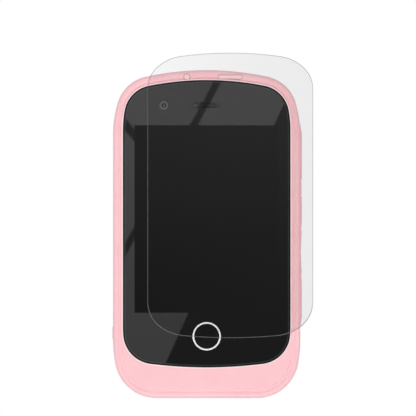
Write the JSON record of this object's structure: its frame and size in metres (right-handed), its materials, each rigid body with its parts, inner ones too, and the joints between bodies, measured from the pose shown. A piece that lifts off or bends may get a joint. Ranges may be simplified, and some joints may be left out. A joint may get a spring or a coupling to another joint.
{
  "type": "toy cell phone",
  "caption": "Compact children's touch phone with rounded pink housing, black glass, ringed home button and edge keys, with a loose clear screen protector lying on it.",
  "frame": {"origin": "middle of the flat back, between the phone's sides and ends, so the phone lies on its back at z = 0", "axes": "+X to the phone's right seen from the front, +Y to the earpiece end, +Z out of the screen"},
  "size_m": [0.0609, 0.1044, 0.0156],
  "materials": {
    "pink_plastic": "satin moulded, very finely textured",
    "key_plastic": "satin moulded",
    "black_glass": "polished, black behind its edge",
    "clear_film": "clear, polished, ground edge",
    "black_gloss": "polished",
    "white_gloss": "polished",
    "grey_trim": "satin",
    "lens_glass": "coated lens",
    "dark_mesh": "satin black",
    "mesh_cloth": "fine woven dust mesh",
    "silver_trim": "turned, satin",
    "clear_lens": "clear, polished",
    "steel": "bright",
    "tinned_steel": "tinned",
    "foam": "closed-cell foam tape",
    "touch_film": "clear film",
    "display_glass": "dark when off",
    "diffuser": "white diffuser",
    "circuit_board": "solder mask",
    "amber_film": "polyimide film",
    "switch_black": "moulded",
    "chip_black": "moulded resin",
    "tinned_can": "satin can",
    "battery_wrap": "laminated foil",
    "lead_insulation": "insulated lead",
    "led_package": "phosphor window"
  },
  "bodies": {
    "phone": {"antenna_flex": "amber_film", "backlight_unit": "diffuser", "battery": "battery_wrap", "battery_connector": "switch_black", "battery_door": "pink_plastic", "battery_door_screw": "steel", "battery_leads": "lead_insulation", "charging_port": "steel", "cover_glass": "black_glass", "display_flex": "amber_film", "display_panel": "display_glass", "display_tray": "tinned_steel", "earpiece_mesh": "dark_mesh", "earpiece_receiver": "switch_black", "flash_led": "led_package", "flash_lens": "clear_lens", "front_camera_lens": "lens_glass", "front_camera_module": "switch_black", "front_camera_ring": "grey_trim", "front_frame": "pink_plastic", "glass_gasket": "foam", "home_button_ring": "white_gloss", "home_switch": "switch_black", "housing_screws": "steel", "lanyard_bar": "pink_plastic", "light_sensor": "lens_glass", "main_board": "circuit_board", "memory_chip": "chip_black", "microphone": "tinned_can", "power_switch": "switch_black", "processor": "chip_black", "rear_camera_module": "switch_black", "rear_camera_ring": "silver_trim", "rear_camera_window": "lens_glass", "rear_housing": "pink_plastic", "round_key_switch": "switch_black", "shield_can": "tinned_steel", "side_key_flex": "amber_film", "side_key_switch": "switch_black", "speaker": "switch_black", "speaker_mesh": "mesh_cloth", "touch_sensor": "touch_film", "volume_down_switch": "switch_black", "volume_up_switch": "switch_black"},
    "home_button": {"home_button": "black_gloss"},
    "power_button": {"power_button": "key_plastic"},
    "round_key": {"round_key": "key_plastic"},
    "side_key": {"side_key": "key_plastic"},
    "volume_up_key": {"volume_up_key": "key_plastic"},
    "volume_down_key": {"volume_down_key": "key_plastic"},
    "screen_protector": {"screen_protector": "clear_film"}
  },
  "joints": [
    {"name": "home_button_press", "type": "slide", "parent": "phone", "child": "home_button", "axis": [0, 0, -1], "range_m": [0, 0.00035], "stiffness_N_per_m": 3000},
    {"name": "power_button_press", "type": "slide", "parent": "phone", "child": "power_button", "axis": [0, 0, -1], "range_m": [0, 0.0004], "stiffness_N_per_m": 3000},
    {"name": "round_key_press", "type": "slide", "parent": "phone", "child": "round_key", "axis": [0, 0, -1], "range_m": [0, 0.0004], "stiffness_N_per_m": 3000},
    {"name": "side_key_press", "type": "slide", "parent": "phone", "child": "side_key", "axis": [-1, 0, 0], "range_m": [0, 0.00035], "stiffness_N_per_m": 3000},
    {"name": "volume_up_press", "type": "slide", "parent": "phone", "child": "volume_up_key", "axis": [-1, 0, 0], "range_m": [0, 0.00035], "stiffness_N_per_m": 3000},
    {"name": "volume_down_press", "type": "slide", "parent": "phone", "child": "volume_down_key", "axis": [-1, 0, 0], "range_m": [0, 0.00035], "stiffness_N_per_m": 3000},
    {"name": "protector_slide", "type": "slide", "parent": "phone", "child": "screen_protector", "axis": [-0.6323, -0.7748, 0], "range_m": [0, 0.01123]}
  ]
}
